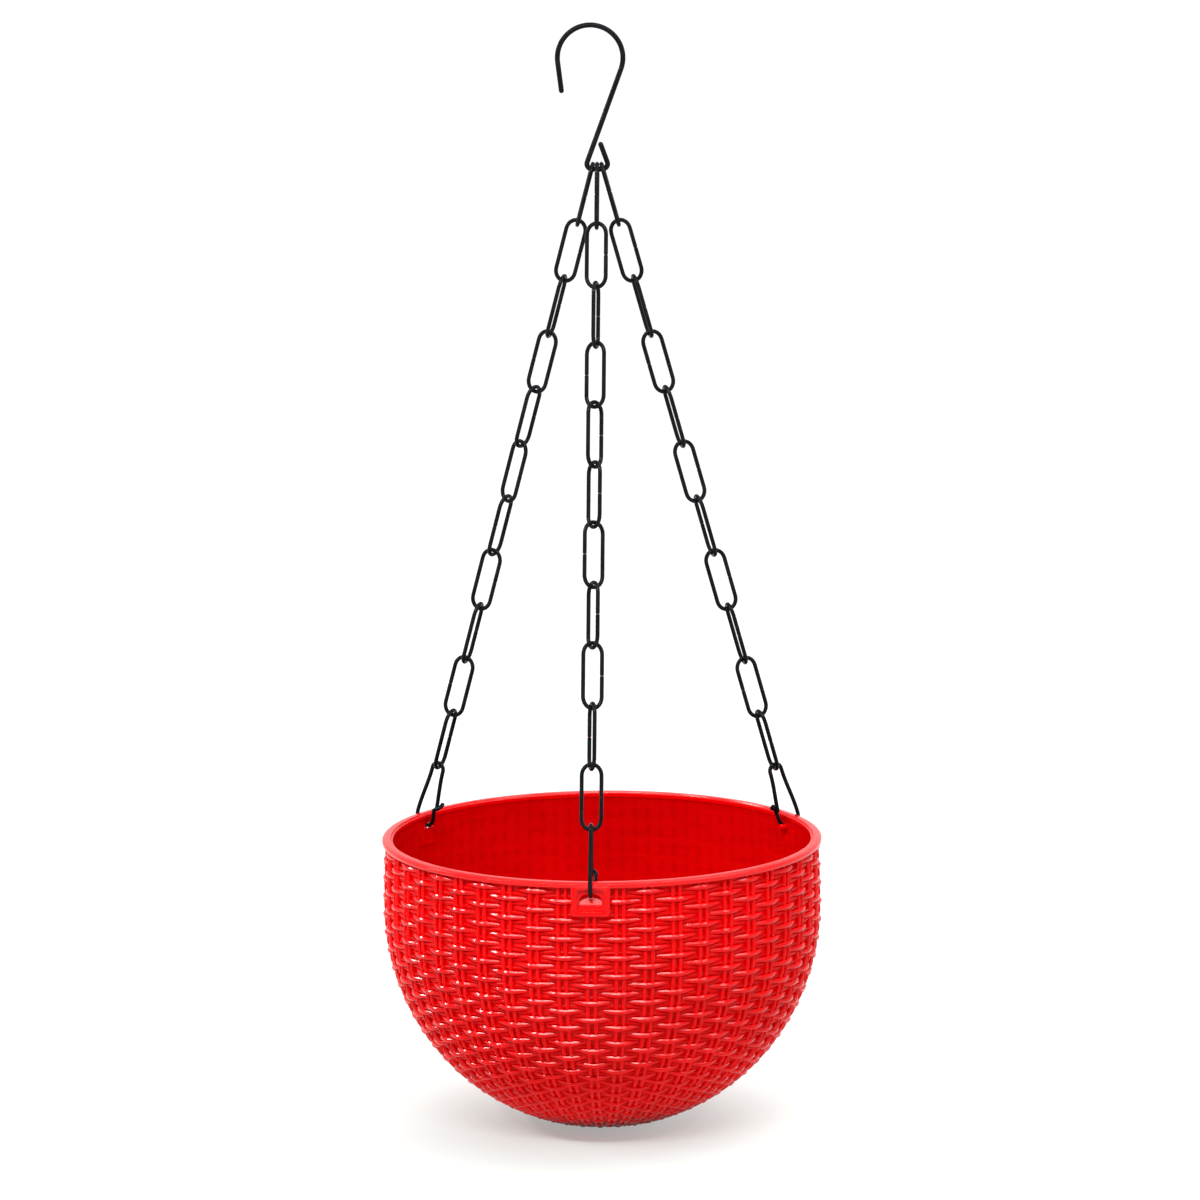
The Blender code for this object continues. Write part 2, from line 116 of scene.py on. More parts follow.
# Bowl, with heights below the top of the rim
RIM_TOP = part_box("basket")[1].z
RIM_RADIUS = 111.0 * MM
RIM_INNER_RADIUS = 105.6 * MM
RIM_HEIGHT = 3.0 * MM
RIM_STEP_WIDTH = 0.9 * MM
RIM_STEP_DROP = 0.9 * MM
RIM_EASE = 0.25 * MM
RIM_LOWER_EASE = 0.3 * MM
STEP_EASE = 0.15 * MM
LIP_LEAN = 0.1 * MM
LIP_EASE = 0.2 * MM
RIM_ROUND = 1.0 * MM
CROWN_WIDTH = 2.6 * MM
CROWN_DROP = 1.3 * MM
WALL_RADIUS = 108.7 * MM
WALL_INNER_RADIUS = 107.0 * MM
SHOULDER_INSET = 1.0 * MM
BELLY_DEPTH = 36.0 * MM
BOWL_DEPTH = 144.5 * MM
FLOOR_THICKNESS = 3.0 * MM
FOOT_RADIUS = 24.0 * MM
FOOT_RING_WIDTH = 5.0 * MM
FOOT_RECESS = 1.0 * MM
INNER_FLOOR_INSET = 2.0 * MM

# Woven relief
PAIRS = 48
ROD_RADIUS = 1.5 * MM
ROD_THINNING = 0.3
ROD_FLAT_TURN = math.radians(32.2)
ROD_FLAT_GAIN = math.radians(20)
ROD_FLAT_HALF = math.radians(18)
ROD_WAVE = 1.3 * MM
ROD_LIFT = -0.28 * MM
ROD_DEEPEST = -1.2 * MM
ROD_CALM = 0.6
FIRST_ROW = 2.4 * MM
ROW_PITCH = 4.68 * MM
RIB_RADIUS = 1.15 * MM
RIB_SPACING = 3.65 * MM
RIB_LIFT = 0.35 * MM
RIB_WAVE = 0.3 * MM
RIB_TAPER = 0.4
ROWS_BESIDE_BOSS = 3
CORD_HEIGHT = 0.75 * MM
# Where along a row, and how high, the wall's shallow cord between two rows of rods stands
CORD_SHARES = ((0.27, 0), (0.36, 0.7), (0.5, 1), (0.64, 0.7), (0.73, 0), (1, 0))
# How far outside the foot the weave and the cords end, and how high above it the weave stays
WEAVE_END = 4.0 * MM
CORD_END = 6.0 * MM
LEAST_CLEARANCE = 0.2 * MM

# Window bosses
WINDOW_AZIMUTH = math.radians(-3)
BOSS_WIDTH = 19.2 * MM
BOSS_BOTTOM = 16.9 * MM
BOSS_TOP = 1.6 * MM
BOSS_FACE = 111.25 * MM
BOSS_BACK = 105.95 * MM
BOSS_CORNER = 1.6 * MM
BOSS_EDGE = 0.6 * MM
RECESS_WIDTH = 13.2 * MM
RECESS_TOP = 3.7 * MM
RECESS_BOTTOM = 14.5 * MM
RECESS_DEPTH = 1.8 * MM
RECESS_CORNER = 1.8 * MM
RECESS_CHAMFER = 0.5 * MM
CHAMFER_SPREAD = 1.54
WINDOW_ARCH = 3.9 * MM
WINDOW_WIDTH = 11.0 * MM
WINDOW_TOP = 5.45 * MM
SILL_DROP = 1.6 * MM
SILL_SLOPE = 1.75
SILL_INNER_SLOPE = 4.0
SILL_RIDGE = 106.5 * MM
WIRE_HEIGHT = 7.1 * MM
GROOVE_RADIUS = 1.75 * MM
GROOVE_LENGTH = 12.0 * MM
CUT_OVERRUN = 2.0 * MM

# How near an edge a face may lie and still count as past it
EDGE_MARGIN = 0.05 * MM
BACK_MARGIN = 0.2 * MM

# Stage
FLOOR_RADIUS = 8
FLOOR_SIDES = 96
# The floor's painted contact shadow: how far it reaches, how dark its middle is, and where its
# middle lies
SHADE_REACH = 0.2
SHADE_LEVEL = 0.37
SHADE_MIDDLE = (-0.014, -0.045)
WORLD_LIGHT = 0.08
LAMP_AIM = (0, 0, -0.48)
LAMPS = (
    # Name, size, watts, colour and place
    ("key", (0.9, 0.13), 20, (1, 0.99, 0.98), (-0.129, -1.171, 0.946)),
    ("left_front", (0.4, 0.12), 6.5, (1, 1, 1), (-0.743, -0.994, 0.892)),
    ("left", (0.32, 0.12), 10.5, (1, 1, 1), (-1.218, -0.613, 0.770)),
    ("left_low", (0.32, 0.12), 10.5, (1, 1, 1), (-1.579, 0.254, 0.451)),
    ("right_front", (0.4, 0.12), 3.5, (1, 1, 1), (0.603, -1.059, 0.912)),
    ("right", (0.6, 0.12), 5, (0.98, 0.99, 1), (1.185, -0.651, 0.783)),
    ("right_fill", (0.7, 0.7), 4, (0.98, 0.99, 1), (1.679, -0.45, 0.153)),
    ("top", (1.0, 1.0), 10, (1, 1, 1), (0.7, 0.1, 1.0)),
)
CAMERA_PLACE = (-0.0001, -3.0, 0.2458)
CAMERA_LENS = 182.16
CAMERA_TILT = math.radians(90 - 10.07)
CAMERA_ROLL = math.radians(-0.4)

# Fineness
LINK_SIDES = 14
HOOK_SIDES = 20
HOOK_BEND_STEPS = 44
EYE_LEFT_STEPS = 14
EYE_RIGHT_STEPS = 12
LINK_END_STEPS = 12
CLIP_LEG_STEPS = 14
CLIP_BEND_STEPS = 16
CLIP_HOOK_STEPS = 8
WALL_STEPS = 84
INNER_WALL_STEPS = 30
CROWN_STEPS = 8
RIM_ROUND_STEPS = 5
SHELL_STEPS = 192
PLATE_CORNER_STEPS = 5
PLATE_EDGE_STEPS = 3
SILL_STEPS = 5
ARCH_STEPS = 9
GROOVE_SIDES = 24
ROD_SIDES = 8
ROD_STEPS = 288
RIB_SIDES = 8
SHARP_ANGLE = math.radians(38)
WOVEN_SHARP_ANGLE = math.radians(80)
FLAT_TOLERANCE = math.radians(1)
MERGE_DISTANCE = 0.002 * MM
CUT_DISTANCE = 0.001 * MM


# Mesh helpers


def new_piece(name, bm, material, sharp=SHARP_ANGLE):
    mesh = bpy.data.meshes.new(name)
    bmesh.ops.recalc_face_normals(bm, faces=bm.faces[:])
    bm.to_mesh(mesh)
    bm.free()
    mesh.shade_smooth()
    if sharp:
        mesh.set_sharp_from_angle(angle=sharp)
    mesh.materials.append(material)
    piece = bpy.data.objects.new(name, mesh)
    bpy.context.scene.collection.objects.link(piece)
    return piece


def each_once(parts):
    # In the order given, which a set wouldn't keep from run to run
    return list(dict.fromkeys(parts))


def path_frames(path):
    # A frame at each point, its Z along the wire, carried on with no twist
    befores, afters = path[:1] + path[:-1], path[1:] + path[-1:]
    tangents = [(after - before).normalized() for before, after in zip(befores, afters)]
    turns = [tangents[0].to_track_quat("Z", "Y")]
    for last, tangent in zip(tangents, tangents[1:]):
        turns.append(last.rotation_difference(tangent) @ turns[-1])
    return [Matrix.LocRotScale(point, turn, None) for point, turn in zip(path, turns)]


def sweep(bm, path, radius, sides, ends):
    # A round wire along a path; ends gives how far and how much each end draws in, step by step
    frames = path_frames(path)
    stations = []
    for along, share in reversed(ends):
        stations.append((frames[0] @ Matrix.Translation((0, 0, along)), share))
    stations += [(f, 1) for f in frames[1:-1]]
    for along, share in ends:
        stations.append((frames[-1] @ Matrix.Translation((0, 0, -along)), share))
    made = bmesh.ops.create_circle(bm, cap_ends=False, segments=sides, radius=radius)
    ring = made["verts"]
    last = Matrix.Identity(4)
    edges = each_once(e for v in ring for e in v.link_edges)
    for number, (place, share) in enumerate(stations):
        here = place @ Matrix.Diagonal((share, share, 1, 1))
        if number:
            grown = bmesh.ops.extrude_edge_only(bm, edges=edges)["geom"]
            ring = [g for g in grown if isinstance(g, bmesh.types.BMVert)]
            edges = [g for g in grown if isinstance(g, bmesh.types.BMEdge)]
            edges = [e for e in edges if all(v in ring for v in e.verts)]
        bmesh.ops.transform(bm, matrix=here @ last.inverted(), verts=ring)
        last = here
        if not number:
            bmesh.ops.contextual_create(bm, geom=edges)
    bmesh.ops.contextual_create(bm, geom=edges)


CUT_END = ((END_CHAMFER, 1), (0, END_FACE_SHARE))


def domed_end(radius):
    return tuple((radius * (1 - math.sin(a)), math.cos(a)) for a in DOME_ANGLES)


def arc(centre, radius, start, end, steps):
    angles = [start + (end - start) * i / steps for i in range(steps + 1)]
    return [centre + Vector((math.cos(a), math.sin(a))) * radius for a in angles]


def corner(before, at, after, radius, steps):
    # The arc that rounds the corner at one point between two others
    back = (before - at).normalized()
    ahead = (after - at).normalized()
    half = back.angle(ahead) / 2
    centre = at + (back + ahead).normalized() * (radius / math.sin(half))
    start = at + back * (radius / math.tan(half)) - centre
    turn = start.angle_signed(at + ahead * (radius / math.tan(half)) - centre)
    first = math.atan2(start.y, start.x)
    return arc(centre, radius, first, first - turn, steps)


def smooth_step(share):
    return share * share * (3 - 2 * share)


# Wire pieces


def hook_path():
    # From the tip over the bend, down the shank and round the eye to its free end
    centre = Vector((-HOOK_BEND_OFFSET, HOOK_WIRE / 2 - HOOK_BEND_RADIUS))
    bend = arc(centre, HOOK_BEND_RADIUS, HOOK_TIP_ANGLE, HOOK_SHANK_ANGLE, HOOK_BEND_STEPS)
    up_the_tip = Vector((math.sin(HOOK_TIP_ANGLE), -math.cos(HOOK_TIP_ANGLE)))
    tip = bend[0] - up_the_tip * HOOK_TIP_LENGTH
    down_the_shank = Vector((math.sin(HOOK_SHANK_ANGLE), -math.cos(HOOK_SHANK_ANGLE)))
    left_corner = bend[-1] + down_the_shank * ((BAR_HEIGHT - bend[-1].y) / down_the_shank.y)
    right_corner = Vector((EYE_BAR_HALF, BAR_HEIGHT))
    leg = Vector((-math.sin(EYE_LEG_ANGLE), math.cos(EYE_LEG_ANGLE)))
    leg_end = right_corner + leg * EYE_LEG_LENGTH
    left = corner(bend[-1], left_corner, right_corner, EYE_CORNER_RADIUS, EYE_LEFT_STEPS)
    right = corner(left_corner, right_corner, leg_end, EYE_CORNER_RADIUS, EYE_RIGHT_STEPS)
    flat = [tip, tip.lerp(bend[0], 0.5), *bend, bend[-1].lerp(left[0], 0.5), *left, *right]
    flat += [right[-1].lerp(leg_end, 0.5), leg_end]
    return [Vector((p.x, 0, p.y)) for p in flat]


def link_path(side):
    # From the cut in the middle of one leg round the loop to the same cut
    end = (LINK_PITCH + CONTACT) / 2 - LINK_END_LENGTH
    path = [Vector((side * LINK_HALF, 0, z)) for z in (BUTT_GAP / 2, end / 2)]
    for way in (1, -1):
        for i in range(LINK_END_STEPS + 1):
            angle = math.pi * i / LINK_END_STEPS
            x = way * side * LINK_HALF * math.cos(angle)
            path.append(Vector((x, 0, way * (end + LINK_END_LENGTH * math.sin(angle)))))
        if way > 0:
            path += [Vector((-side * LINK_HALF, 0, z)) for z in (end / 3, -end / 3)]
    path += [Vector((side * LINK_HALF, 0, -z)) for z in (end / 2, BUTT_GAP / 2)]
    return path


def clip_half_width(height):
    share = smooth_step(1 - height / CLIP_BODY_LENGTH)
    return CLIP_NECK_RADIUS + (CLIP_BELLY_RADIUS - CLIP_NECK_RADIUS) * share


def clip_path():
    # Local X points out of the basket: up the inner leg, over the neck, down and round the belly
    path = []
    legs, bends = CLIP_LEG_STEPS, CLIP_BEND_STEPS
    for i in range(legs):
        height = CLIP_LEG_END + (CLIP_BODY_LENGTH - CLIP_LEG_END) * i / legs
        path.append(Vector((-clip_half_width(height), 0, height)))
    for i in range(bends + 1):
        angle = math.pi * (1 - i / bends)
        x, z = CLIP_NECK_RADIUS * math.cos(angle), CLIP_NECK_RADIUS * math.sin(angle)
        path.append(Vector((x, 0, CLIP_BODY_LENGTH + z)))
    for i in range(1, legs):
        height = CLIP_BODY_LENGTH * (1 - i / legs)
        path.append(Vector((clip_half_width(height), 0, height)))
    for i in range(bends + 1):
        # The belly's second half moves aside, so that the end passes its own leg
        angle = -math.pi * i / bends
        lap = CONTACT * smooth_step(max(0, i - bends / 2) / bends)
        x, z = CLIP_BELLY_RADIUS * math.cos(angle), CLIP_BELLY_RADIUS * math.sin(angle)
        path.append(Vector((x, lap, z)))
    centre = Vector((-clip_half_width(CLIP_LEG_END), 0, 0))
    for i in range(CLIP_HOOK_STEPS + 1):
        share = i / CLIP_HOOK_STEPS
        angle = math.pi / 2 + CLIP_HOOK_TURN * share
        height = CLIP_HOOK_START + CLIP_HOOK_RISE * (CLIP_HOOK_LEAD_SHARE + share)
        around = Vector((math.cos(angle), math.sin(angle), 0)) * CONTACT
        path.append(centre + around + Vector((0, 0, height)))
    return path


def line_frame(origin, up, across):
    # Z along the line, X as near across as square to it allows
    z = up.normalized()
    x = (across - z * across.dot(z)).normalized()
    turn = Matrix((x, z.cross(x), z)).transposed().to_4x4()
    return Matrix.Translation(origin) @ turn


def azimuth_of(number):
    return WINDOW_AZIMUTH + 2 * math.pi * number / len(CHAINS)


def outward(number):
    return Vector((math.sin(azimuth_of(number)), -math.cos(azimuth_of(number)), 0))


def wire_piece(name, node, body, path, radius, sides, ends, place, material):
    bm = bmesh.new()
    sweep(bm, path, radius, sides, ends)
    bmesh.ops.transform(bm, matrix=place, verts=bm.verts[:])
    piece = new_piece(name, bm, material)
    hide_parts(node)
    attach(piece, body)
    return piece


def make_hook(material):
    return wire_piece(
        "bent_wire_hook",
        "top_hook",
        "hook",
        hook_path(),
        HOOK_WIRE / 2,
        HOOK_SIDES,
        domed_end(HOOK_WIRE / 2),
        Matrix.Identity(4),
        material,
    )


def make_chain(number, name, side, turns, material):
    start = Vector((side * TOP_LINK_SPACING, 0, CHAIN_START))
    foot = outward(number) * CLIP_RADIUS + Vector((0, 0, RIM_TOP - CLIP_DROP))
    line = foot - start
    pitch = (line.length - CLIP_REACH) / LINKS_PER_CHAIN
    up = -line.normalized()
    for i, turn in enumerate(turns):
        centre = start - up * (pitch * (i + 0.5))
        spin = Matrix.Rotation(math.radians(turn), 4, "Z")
        node = f"{name}_link_{i + 1:02d}"
        cut_side = 1 if i % 3 else -1
        wire_piece(
            f"wire_{node}",
            node,
            node,
            link_path(cut_side),
            LINK_WIRE / 2,
            LINK_SIDES,
            CUT_END,
            line_frame(centre, up, Vector((1, 0, 0))) @ spin,
            material,
        )
    node = f"{name}_clip"
    wire_piece(
        f"wire_{node}",
        node,
        node,
        clip_path(),
        LINK_WIRE / 2,
        LINK_SIDES,
        CUT_END,
        line_frame(foot, up, outward(number)),
        material,
    )


# Bowl


def wall_curve(radius, top, depth, flat_radius, steps):
    # Down the wall: a shoulder that swells to the belly, then a quarter ellipse to the flat
    curve = []
    for i in range(steps // 3):
        share = i / (steps // 3)
        r = radius - SHOULDER_INSET * (1 - math.sin(math.pi / 2 * share))
        curve.append(Vector((r, -top - (BELLY_DEPTH - top) * share)))
    last = math.acos(flat_radius / radius)
    drop = (depth - BELLY_DEPTH) / math.sin(last)
    for i in range(steps + 1):
        angle = last * i / steps
        curve.append(Vector((radius * math.cos(angle), -BELLY_DEPTH - drop * math.sin(angle))))
    return curve


OUTER_WALL = wall_curve(WALL_RADIUS, RIM_HEIGHT, BOWL_DEPTH, FOOT_RADIUS, WALL_STEPS)


def on_wall(along):
    # The point at this distance down the outer wall, and the way that the wall faces there
    for a, b in zip(OUTER_WALL, OUTER_WALL[1:]):
        step = (b - a).length
        if along <= step or b is OUTER_WALL[-1]:
            facing = Vector((a.y - b.y, b.x - a.x)).normalized()
            return a.lerp(b, along / step), facing
        along -= step


def shell_profile():
    # From the middle of the floor up inside, over the rim, down outside and under the foot
    inner = wall_curve(
        WALL_INNER_RADIUS,
        RIM_HEIGHT + RIM_ROUND,
        BOWL_DEPTH - FLOOR_THICKNESS,
        FOOT_RADIUS - INNER_FLOOR_INSET,
        INNER_WALL_STEPS,
    )
    step = RIM_INNER_RADIUS + RIM_STEP_WIDTH
    rim = [
        Vector((RIM_INNER_RADIUS + RIM_EASE, -RIM_HEIGHT)),
        Vector((RIM_INNER_RADIUS, -RIM_HEIGHT + RIM_LOWER_EASE)),
        Vector((RIM_INNER_RADIUS, -RIM_STEP_DROP - RIM_EASE)),
        Vector((RIM_INNER_RADIUS + RIM_EASE, -RIM_STEP_DROP)),
        Vector((step - STEP_EASE, -RIM_STEP_DROP)),
        Vector((step, -RIM_STEP_DROP + STEP_EASE)),
        Vector((step + LIP_LEAN, -LIP_EASE)),
        Vector((step + LIP_LEAN + LIP_EASE, 0)),
    ]
    for p in arc(Vector((0, 0)), 1, math.pi / 2, 0, CROWN_STEPS):
        rim.append(Vector((RIM_RADIUS - CROWN_WIDTH * (1 - p.x), -CROWN_DROP * (1 - p.y))))
    under = Vector((RIM_RADIUS - RIM_ROUND, -RIM_HEIGHT + RIM_ROUND))
    rim += arc(under, RIM_ROUND, 0, -math.pi / 2, RIM_ROUND_STEPS)
    ring = FOOT_RADIUS - FOOT_RING_WIDTH
    foot = [
        Vector((ring, -BOWL_DEPTH)),
        Vector((ring - FOOT_RECESS, -BOWL_DEPTH + FOOT_RECESS)),
        Vector((0, -BOWL_DEPTH + FOOT_RECESS)),
    ]
    floor = [Vector((0, -BOWL_DEPTH + FLOOR_THICKNESS))]
    return floor + list(reversed(inner)) + rim + corded_wall() + foot


def corded_wall():
    # The outer wall, with a cord between each two rows of rods, and plain round the foot
    wall = [on_wall(0)[0]]
    row = 0
    while True:
        for along, height in CORD_SHARES:
            base, facing = on_wall(FIRST_ROW + ROW_PITCH * (row + along))
            if base.x < FOOT_RADIUS + CORD_END:
                return wall + OUTER_WALL[-4:]
            wall.append(base + facing * (height * CORD_HEIGHT))
        row += 1


def turned(profile, steps):
    bm = bmesh.new()
    verts = [bm.verts.new((p.x, 0, p.y)) for p in profile]
    for a, b in zip(verts, verts[1:]):
        bm.edges.new((a, b))
    spin_round(bm, steps)
    bmesh.ops.remove_doubles(bm, verts=bm.verts[:], dist=MERGE_DISTANCE)
    bmesh.ops.recalc_face_normals(bm, faces=bm.faces[:])
    return bm


def spin_round(bm, steps):
    bmesh.ops.spin(
        bm,
        geom=bm.verts[:] + bm.edges[:],
        cent=(0, 0, 0),
        axis=(0, 0, 1),
        angle=2 * math.pi,
        steps=steps,
        use_merge=True,
    )


def join(bm, one):
    # Adds the second mesh to the first and frees it
    mesh = bpy.data.meshes.new("joined")
    one.to_mesh(mesh)
    one.free()
    bm.from_mesh(mesh)
    bpy.data.meshes.remove(mesh)


def plate(width, low, high, near, far, radius, edge):
    # A rounded plate that faces along X, with its front edges softened
    bm = bmesh.new()
    bmesh.ops.create_cube(bm, size=1)
    bmesh.ops.transform(
        bm,
        matrix=Matrix.Translation(((near + far) / 2, 0, (low + high) / 2))
        @ Matrix.Diagonal((far - near, width, high - low, 1)),
        verts=bm.verts[:],
    )
    along = [e for e in bm.edges if abs(e.verts[0].co.x - e.verts[1].co.x) > (far - near) / 2]
    soften(bm, along, radius, PLATE_CORNER_STEPS)
    if edge:
        front = [e for e in bm.edges if all(v.co.x > far - edge / 10 for v in e.verts)]
        soften(bm, front, edge, PLATE_EDGE_STEPS)
    return bm


def soften(bm, edges, size, segments):
    bmesh.ops.bevel(
        bm,
        geom=edges,
        offset=size,
        affect="EDGES",
        segments=segments,
        profile=0.5,
        material=-1,
    )


def boss():
    return plate(
        BOSS_WIDTH, -BOSS_BOTTOM, -BOSS_TOP, BOSS_BACK, BOSS_FACE, BOSS_CORNER, BOSS_EDGE
    )


def recess():
    # The cut in a boss's face, whose mouth opens out by a chamfer
    start = BOSS_FACE - RECESS_CHAMFER
    bm = plate(
        RECESS_WIDTH,
        -RECESS_BOTTOM,
        -RECESS_TOP,
        BOSS_FACE - RECESS_DEPTH,
        BOSS_FACE + CUT_OVERRUN,
        RECESS_CORNER,
        0,
    )
    everything = bm.verts[:] + bm.edges[:] + bm.faces[:]
    bmesh.ops.bisect_plane(bm, geom=everything, plane_co=(start, 0, 0), plane_no=(1, 0, 0))
    middle = -(RECESS_TOP + RECESS_BOTTOM) / 2
    for vert in bm.verts:
        grow = CHAMFER_SPREAD * max(0, vert.co.x - start)
        vert.co.y *= 1 + 2 * grow / RECESS_WIDTH
        vert.co.z = middle + (vert.co.z - middle) * (1 + 2 * grow / (RECESS_BOTTOM - RECESS_TOP))
    return bm


def window():
    # An arched opening with a sill that falls away from a ridge on both sides
    back, front = RIM_INNER_RADIUS - CUT_OVERRUN, RIM_RADIUS + CUT_OVERRUN
    outer_end = BOSS_FACE - RECESS_DEPTH
    stations = [back, BOSS_BACK, (BOSS_BACK + SILL_RIDGE) / 2, SILL_RIDGE]
    for k in range(SILL_STEPS):
        stations.append(SILL_RIDGE + (outer_end - SILL_RIDGE) * (k + 1) / SILL_STEPS)
    bm = bmesh.new()
    before = None
    for x in stations + [front]:
        slope = SILL_SLOPE if x > SILL_RIDGE else SILL_INNER_SLOPE
        sill = -WINDOW_TOP - SILL_DROP - slope * abs(x - SILL_RIDGE)
        ring = [bm.verts.new((x, y, z)) for y, z in window_outline(sill)]
        edges = [bm.edges.new(pair) for pair in zip(ring, ring[1:] + ring[:1])]
        if before:
            bmesh.ops.bridge_loops(bm, edges=before + edges)
        before = edges
    bmesh.ops.holes_fill(bm, edges=[e for e in bm.edges if e.is_boundary], sides=0)
    return bm


def window_outline(sill):
    # From one end of the sill up and over the arch to the other
    side = []
    for k in range(ARCH_STEPS):
        z = sill + (-WINDOW_TOP - sill) * math.sin(math.pi / 2 * k / ARCH_STEPS)
        into = max(0, (z + WINDOW_TOP + WINDOW_ARCH) / WINDOW_ARCH)
        side.append((WINDOW_WIDTH / 2 * math.sqrt(1 - into**2), z))
    return side + [(0, -WINDOW_TOP)] + [(-y, z) for y, z in reversed(side)]


def wire_groove():
    # Lets the clip's wire lie lower than the ridge of the sill
    bm = bmesh.new()
    turn = Matrix.Rotation(math.pi / 2, 4, "Y")
    place = Matrix.Translation(((RIM_INNER_RADIUS + RIM_RADIUS) / 2, 0, -WIRE_HEIGHT))
    bmesh.ops.create_cone(
        bm,
        cap_ends=True,
        segments=GROOVE_SIDES,
        radius1=GROOVE_RADIUS,
        radius2=GROOVE_RADIUS,
        depth=GROOVE_LENGTH,
        matrix=place @ turn,
    )
    return bm


def cutter(name, build):
    # The same shape at each chain's foot
    bm = bmesh.new()
    for number in range(len(CHAINS)):
        one = build()
        bmesh.ops.recalc_face_normals(one, faces=one.faces[:])
        turn = Matrix.Rotation(azimuth_of(number) - math.pi / 2, 4, "Z")
        bmesh.ops.transform(one, matrix=turn, verts=one.verts[:])
        join(bm, one)
    mesh = bpy.data.meshes.new(name)
    bm.to_mesh(mesh)
    bm.free()
    tool = bpy.data.objects.new(name, mesh)
    bpy.context.scene.collection.objects.link(tool)
    return tool


def make_shell(rim_material, shaded_wall_material, boss_material):
    # The rim and the windows keep its first material, and the bosses get their own. The wall,
    # inside the bowl and behind the weave, gets a darker red of painted shade.
    bm = turned(shell_profile(), SHELL_STEPS)
    shell = new_piece("basket_shell", bm, rim_material)
    tools = []
    for name, build, operation in (
        ("boss", boss, "UNION"),
        ("recess", recess, "DIFFERENCE"),
        ("window", window, "DIFFERENCE"),
        ("wire_groove", wire_groove, "DIFFERENCE"),
    ):
        tool = cutter(name, build)
        modifier = shell.modifiers.new(name, "BOOLEAN")
        modifier.operation = operation
        modifier.object = tool
        modifier.solver = "EXACT"
        tools.append(tool)
    bpy.context.view_layer.update()
    graph = bpy.context.evaluated_depsgraph_get()
    carved = bpy.data.meshes.new_from_object(shell.evaluated_get(graph))
    shell.modifiers.clear()
    shell.data = carved
    for tool in tools:
        bpy.data.objects.remove(tool)
    carved.materials.append(shaded_wall_material)
    carved.materials.append(boss_material)
    for face in carved.polygons:
        # The plain wall takes the darker red of painted shade
        if on_plain_wall(face.center):
            face.material_index = 1
        elif on_boss(face.center):
            face.material_index = 2
    carved.transform(Matrix.Translation((0, 0, RIM_TOP)))
    carved.shade_smooth()
    carved.set_sharp_from_angle(angle=SHARP_ANGLE)
    finish_bowl_piece(shell)


def on_plain_wall(point):
    # Below the rim, and not on a boss, where the wall's painted shade goes
    if point.z > -RIM_HEIGHT - EDGE_MARGIN:
        return False
    if math.hypot(point.x, point.y) < BOSS_BACK + BACK_MARGIN:
        return True
    ways = [way for way in map(outward, range(len(CHAINS))) if point.dot(way) > 0]
    across = min(abs(point.x * way.y - point.y * way.x) for way in ways)
    return point.z < -BOSS_BOTTOM - EDGE_MARGIN or across > BOSS_WIDTH / 2 + EDGE_MARGIN


def on_boss(point):
    # On a boss's face, sides or recess, and not inside its window
    radius = math.hypot(point.x, point.y)
    return point.z < -RIM_HEIGHT and radius > BOSS_FACE - RECESS_DEPTH - EDGE_MARGIN


def finish_bowl_piece(piece):
    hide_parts("basket")
    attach(piece, "basket")


def pair_place(angle):
    # How far this way round lies from pair 0, in pairs; pair 0 is at the front boss
    return (angle - (WINDOW_AZIMUTH - math.pi / 2)) * PAIRS / (2 * math.pi)


def make_rods(material):
    # One ring for each row, waved in and out so that it passes over every second pair
    bm = bmesh.new()
    row = 0
    while True:
        base, facing = on_wall(FIRST_ROW + ROW_PITCH * row)
        if base.x < FOOT_RADIUS + WEAVE_END:
            break
        flat = ROD_FLAT_TURN - ROD_FLAT_GAIN * base.y
        one = rod_section(base, flat)
        spin_round(one, ROD_STEPS)
        for edge in one.edges:
            sides = [flat_side(vert, base, flat) for vert in edge.verts]
            edge.smooth = not (sides[0] and sides[0] == sides[1])
        for vert in one.verts:
            wave_rod(vert, row, base, facing)
        if base.y > -BOSS_BOTTOM + ROD_RADIUS:
            cut_round_bosses(one)
        join(bm, one)
        row += 1
    bmesh.ops.translate(bm, vec=(0, 0, RIM_TOP), verts=bm.verts[:])
    finish_bowl_piece(new_piece("woven_rods", bm, material, None))


def rod_section(base, flat):
    # Round, but for the narrow flat along its upper front that catches the light
    bm = bmesh.new()
    ring = bmesh.ops.create_circle(bm, segments=ROD_SIDES, radius=ROD_RADIUS)["verts"]
    step = (2 * math.pi - 2 * ROD_FLAT_HALF) / (ROD_SIDES - 1)
    for number, vert in enumerate(ring):
        angle = flat + ROD_FLAT_HALF + step * number
        x = base.x + ROD_RADIUS * math.cos(angle)
        vert.co = (x, 0, base.y + ROD_RADIUS * math.sin(angle))
    return bm


def flat_side(vert, base, flat):
    # Above (1) or below (-1) the flat, where the point lies on one of its edges, and 0 elsewhere
    turn = math.atan2(vert.co.z - base.y, math.hypot(vert.co.x, vert.co.y) - base.x)
    if abs(abs(turn - flat) - ROD_FLAT_HALF) > FLAT_TOLERANCE:
        return 0
    return 1 if turn > flat else -1


def wave_rod(vert, row, base, facing):
    # Pushes a point out over its pairs and in under the next, thinner where the rod lies deep
    angle = math.atan2(vert.co.y, vert.co.x)
    place = Vector((math.hypot(vert.co.x, vert.co.y), vert.co.z))
    wave = math.cos(math.pi * (pair_place(angle) + row))
    place = base + (place - base) * (1 - ROD_THINNING * (1 - wave) / 2)
    push = (ROD_LIFT + ROD_WAVE * wave) * (base.x / WALL_RADIUS) ** ROD_CALM
    depth = (place - base).dot(facing) + push
    push += max(0, ROD_DEEPEST - depth)
    place += facing * push
    place.y = max(place.y, LEAST_CLEARANCE - BOWL_DEPTH)
    vert.co = (place.x * math.cos(angle), place.x * math.sin(angle), place.y)


